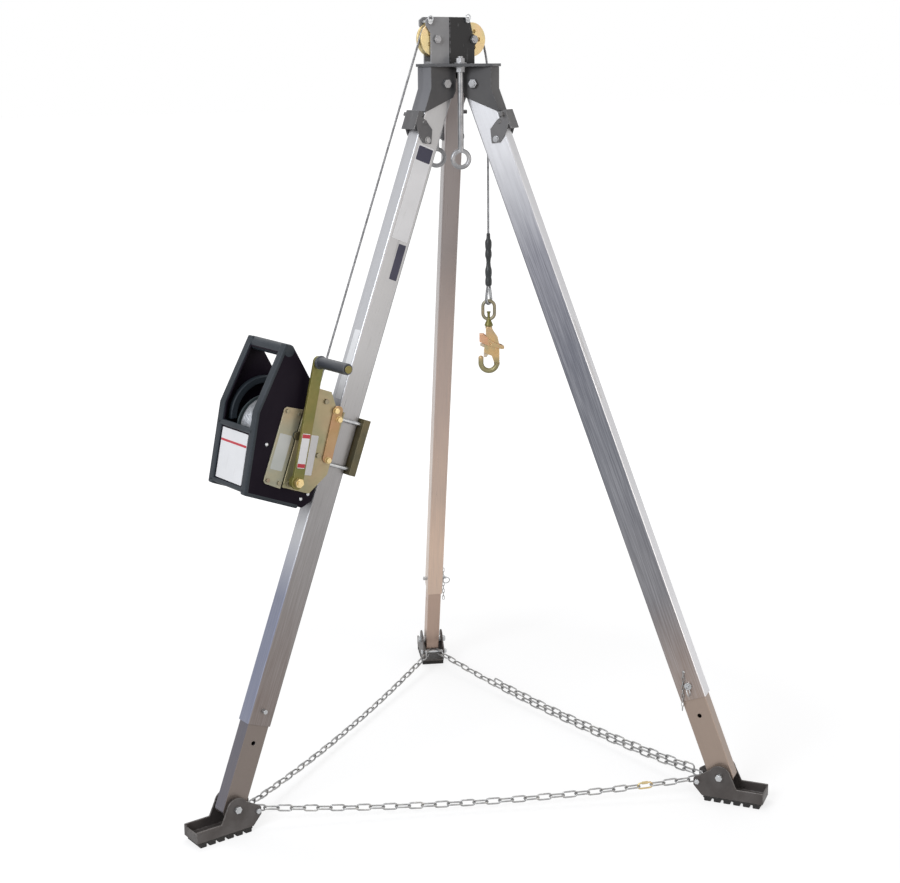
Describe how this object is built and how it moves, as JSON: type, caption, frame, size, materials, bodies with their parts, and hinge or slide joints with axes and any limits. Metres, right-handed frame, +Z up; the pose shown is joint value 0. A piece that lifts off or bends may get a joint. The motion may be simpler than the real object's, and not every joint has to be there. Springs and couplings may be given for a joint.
{
  "type": "rescue tripod with winch",
  "caption": "Folding rescue tripod: telescoping box-section legs on pivoting shoes tied by chains, a sheave head, a leg winch with crank, wire rope and a locking swivel hook.",
  "frame": {"origin": "on the floor at the middle of the footprint's bounding box", "axes": "+Z up; the winch leg points along -X and the load rope hangs on the +X side of the tripod's axis"},
  "size_m": [1.3868, 1.6014, 2.1595],
  "materials": {
    "head_paint": "dark grey textured paint",
    "bracket_paint": "grey paint",
    "gold_zinc": "yellow passivated zinc plate",
    "bright_steel": "bright zinc plate",
    "wire_rope": "galvanised strands",
    "leg_aluminium": "extruded, satin",
    "extension_aluminium": "extruded, satin",
    "latch_paint": "mid grey paint",
    "shoe_steel": "dull zinc plate",
    "sole_rubber": "matt",
    "winch_black": "moulded, satin",
    "winch_zinc": "olive passivated zinc plate",
    "drum_alloy": "turned",
    "gear_steel": "oiled steel",
    "grip_plastic": "moulded",
    "sleeve_plastic": "shrink sleeve"
  },
  "bodies": {
    "head": {"head_plate": "head_paint", "leg_brackets": "head_paint", "pivot_bolts": "gold_zinc", "sheave_brackets": "bracket_paint", "sheave_axles": "gold_zinc", "keeper_pins": "bright_steel", "eyebolts": "gold_zinc", "head_rope": "wire_rope", "load_rope": "wire_rope"},
    "winch_sheave": {"winch_sheave": "gold_zinc"},
    "load_sheave": {"load_sheave": "gold_zinc"},
    "leg_1": {"outer_leg_1": "leg_aluminium", "leg_fittings_1": "gold_zinc", "winch_housing": "winch_black", "winch_bracket": "winch_zinc", "gear_cover": "winch_zinc", "clamp_bar": "winch_zinc", "clamp_bolts": "gold_zinc", "winch_bolts": "gold_zinc", "leg_rope": "wire_rope"},
    "latch_1": {"latch_1": "latch_paint"},
    "lock_pin_1": {"lock_pin_1": "gold_zinc"},
    "extension_1": {"inner_leg_1": "extension_aluminium"},
    "shoe_1": {"foot_1": "shoe_steel", "sole_1": "sole_rubber", "foot_bolts_1": "gold_zinc"},
    "chain_1_to_2": {"chain_1_to_2": "bright_steel"},
    "chain_1_to_3": {"chain_1_to_3": "bright_steel"},
    "leg_2": {"outer_leg_2": "leg_aluminium", "leg_fittings_2": "gold_zinc"},
    "latch_2": {"latch_2": "latch_paint"},
    "lock_pin_2": {"lock_pin_2": "gold_zinc"},
    "extension_2": {"inner_leg_2": "extension_aluminium"},
    "shoe_2": {"foot_2": "shoe_steel", "sole_2": "sole_rubber", "foot_bolts_2": "gold_zinc"},
    "chain_2_to_3": {"chain_2_to_3": "bright_steel"},
    "chain_2_to_1": {"chain_2_to_1": "bright_steel", "chain_coupler": "gold_zinc"},
    "leg_3": {"outer_leg_3": "leg_aluminium", "leg_fittings_3": "gold_zinc"},
    "latch_3": {"latch_3": "latch_paint"},
    "lock_pin_3": {"lock_pin_3": "gold_zinc"},
    "extension_3": {"inner_leg_3": "extension_aluminium"},
    "shoe_3": {"foot_3": "shoe_steel", "sole_3": "sole_rubber", "foot_bolts_3": "gold_zinc"},
    "chain_3_to_1": {"chain_3_to_1": "bright_steel"},
    "chain_3_to_2": {"chain_3_to_2": "bright_steel"},
    "drum": {"winch_drum": "drum_alloy", "drum_rope": "wire_rope", "drum_gear": "gear_steel"},
    "crank": {"crank_shaft": "gear_steel", "crank_arm": "winch_zinc"},
    "grip": {"crank_grip": "grip_plastic"},
    "hook_line": {"rope_end": "sleeve_plastic", "swivel_eye": "gold_zinc"},
    "hook": {"hook_body": "bright_steel"},
    "hook_gate": {"hook_gate": "gold_zinc"},
    "hook_lever": {"hook_lever": "gold_zinc"}
  },
  "joints": [
    {"name": "leg_fold_1", "type": "hinge", "parent": "head", "child": "leg_1", "pos_m": [0.14836, 0, 1.97089], "axis": [0, -1, 0], "range_deg": [0, 19.5]},
    {"name": "leg_extend_1", "type": "slide", "parent": "leg_1", "child": "extension_1", "axis": [-0.3551, 0, -0.9348], "range_m": [0, 0.54]},
    {"name": "shoe_tilt_1", "type": "hinge", "parent": "extension_1", "child": "shoe_1", "pos_m": [-0.57144, 0, 0.076], "axis": [0, 1, 0], "range_deg": [-35, 75]},
    {"name": "latch_turn_1", "type": "hinge", "parent": "leg_1", "child": "latch_1", "pos_m": [0.08452, 0, 1.81971], "axis": [0, -1, 0], "range_deg": [0, 25], "stiffness_Nm_per_rad": 2, "springref_deg": -14.32},
    {"name": "pin_pull_1", "type": "slide", "parent": "leg_1", "child": "lock_pin_1", "axis": [0, 1, 0], "range_m": [0, 0.09]},
    {"name": "chain_1_to_2_drop", "type": "hinge", "parent": "shoe_1", "child": "chain_1_to_2", "pos_m": [-0.50944, -0.012, 0.054], "axis": [0.5, 0.866, 0], "range_deg": [0, 84]},
    {"name": "chain_1_to_3_drop", "type": "hinge", "parent": "shoe_1", "child": "chain_1_to_3", "pos_m": [-0.50944, 0.012, 0.054], "axis": [-0.5, 0.866, 0], "range_deg": [0, 84]},
    {"name": "leg_fold_2", "type": "hinge", "parent": "head", "child": "leg_2", "pos_m": [0.24136, -0.05369, 1.97089], "axis": [0.866, 0.5, 0], "range_deg": [0, 19.5]},
    {"name": "leg_extend_2", "type": "slide", "parent": "leg_2", "child": "extension_2", "axis": [0.1776, -0.3075, -0.9348], "range_m": [0, 0.54]},
    {"name": "shoe_tilt_2", "type": "hinge", "parent": "extension_2", "child": "shoe_2", "pos_m": [0.60126, -0.67706, 0.076], "axis": [-0.866, -0.5, 0], "range_deg": [-35, 75]},
    {"name": "latch_turn_2", "type": "hinge", "parent": "leg_2", "child": "latch_2", "pos_m": [0.27329, -0.10899, 1.81971], "axis": [0.866, 0.5, 0], "range_deg": [0, 25], "stiffness_Nm_per_rad": 2, "springref_deg": -14.32},
    {"name": "pin_pull_2", "type": "slide", "parent": "leg_2", "child": "lock_pin_2", "axis": [-0.866, -0.5, 0], "range_m": [0, 0.09]},
    {"name": "chain_2_to_3_drop", "type": "hinge", "parent": "shoe_2", "child": "chain_2_to_3", "pos_m": [0.58066, -0.61737, 0.054], "axis": [-1, 0, 0], "range_deg": [0, 84]},
    {"name": "chain_2_to_1_drop", "type": "hinge", "parent": "shoe_2", "child": "chain_2_to_1", "pos_m": [0.55987, -0.62937, 0.054], "axis": [-0.5, -0.866, 0], "range_deg": [0, 84]},
    {"name": "leg_fold_3", "type": "hinge", "parent": "head", "child": "leg_3", "pos_m": [0.24136, 0.05369, 1.97089], "axis": [-0.866, 0.5, 0], "range_deg": [0, 19.5]},
    {"name": "leg_extend_3", "type": "slide", "parent": "leg_3", "child": "extension_3", "axis": [0.1776, 0.3075, -0.9348], "range_m": [0, 0.54]},
    {"name": "shoe_tilt_3", "type": "hinge", "parent": "extension_3", "child": "shoe_3", "pos_m": [0.60126, 0.67706, 0.076], "axis": [0.866, -0.5, 0], "range_deg": [-35, 75]},
    {"name": "latch_turn_3", "type": "hinge", "parent": "leg_3", "child": "latch_3", "pos_m": [0.27329, 0.10899, 1.81971], "axis": [-0.866, 0.5, 0], "range_deg": [0, 25], "stiffness_Nm_per_rad": 2, "springref_deg": -14.32},
    {"name": "pin_pull_3", "type": "slide", "parent": "leg_3", "child": "lock_pin_3", "axis": [0.866, -0.5, 0], "range_m": [0, 0.09]},
    {"name": "chain_3_to_1_drop", "type": "hinge", "parent": "shoe_3", "child": "chain_3_to_1", "pos_m": [0.55987, 0.62937, 0.054], "axis": [0.5, -0.866, 0], "range_deg": [0, 84]},
    {"name": "chain_3_to_2_drop", "type": "hinge", "parent": "shoe_3", "child": "chain_3_to_2", "pos_m": [0.58066, 0.61737, 0.054], "axis": [1, 0, 0], "range_deg": [0, 84]},
    {"name": "drum_turn", "type": "hinge", "parent": "leg_1", "child": "drum", "pos_m": [-0.37275, 0, 1.06703], "axis": [0, -1, 0], "range_deg": [-270, 720]},
    {"name": "crank_turn", "type": "hinge", "parent": "leg_1", "child": "crank", "pos_m": [-0.38841, 0, 0.94806], "axis": [0, -1, 0], "range_deg": [-2890, 1090]},
    {"name": "grip_spin", "type": "hinge", "parent": "crank", "child": "grip", "pos_m": [-0.31425, 0, 1.25935], "axis": [0, -1, 0], "continuous": true},
    {"name": "winch_sheave_turn", "type": "hinge", "parent": "head", "child": "winch_sheave", "pos_m": [0.12636, 0, 2.09089], "axis": [0, 1, 0], "range_deg": [-414, 1094]},
    {"name": "load_sheave_turn", "type": "hinge", "parent": "head", "child": "load_sheave", "pos_m": [0.25436, 0, 2.09089], "axis": [0, 1, 0], "range_deg": [-414, 1094]},
    {"name": "hook_lower", "type": "slide", "parent": "head", "child": "hook_line", "axis": [0, 0, -1], "range_m": [-0.3, 0.8], "deforming": ["load_rope"]},
    {"name": "hook_swivel", "type": "hinge", "parent": "hook_line", "child": "hook", "pos_m": [0.31836, 0, 1.27879], "axis": [0, 0, 1], "continuous": true},
    {"name": "gate_open", "type": "hinge", "parent": "hook", "child": "hook_gate", "pos_m": [0.31519, 0.00244, 1.21479], "axis": [-0.6101, -0.7923, 0], "range_deg": [0, 25], "stiffness_Nm_per_rad": 0.4, "springref_deg": -28.65},
    {"name": "lever_press", "type": "hinge", "parent": "hook", "child": "hook_lever", "pos_m": [0.32153, -0.00244, 1.22879], "axis": [0.6101, 0.7923, 0], "range_deg": [0, 10], "stiffness_Nm_per_rad": 0.1, "springref_deg": -28.65}
  ],
  "couplings": [
    {"joint": "chain_1_to_2_drop", "follows": "leg_fold_1", "ratio": 4.306},
    {"joint": "chain_1_to_3_drop", "follows": "leg_fold_1", "ratio": 4.306},
    {"joint": "chain_2_to_3_drop", "follows": "leg_fold_2", "ratio": 4.306},
    {"joint": "chain_2_to_1_drop", "follows": "leg_fold_2", "ratio": 4.306},
    {"joint": "chain_3_to_1_drop", "follows": "leg_fold_3", "ratio": 4.306},
    {"joint": "chain_3_to_2_drop", "follows": "leg_fold_3", "ratio": 4.306},
    {"joint": "crank_turn", "follows": "drum_turn", "ratio": -4},
    {"joint": "winch_sheave_turn", "follows": "drum_turn", "ratio": 1.5122},
    {"joint": "load_sheave_turn", "follows": "drum_turn", "ratio": 1.5122},
    {"joint": "hook_lower", "follows": "drum_turn", "m_per_rad": 0.062}
  ]
}
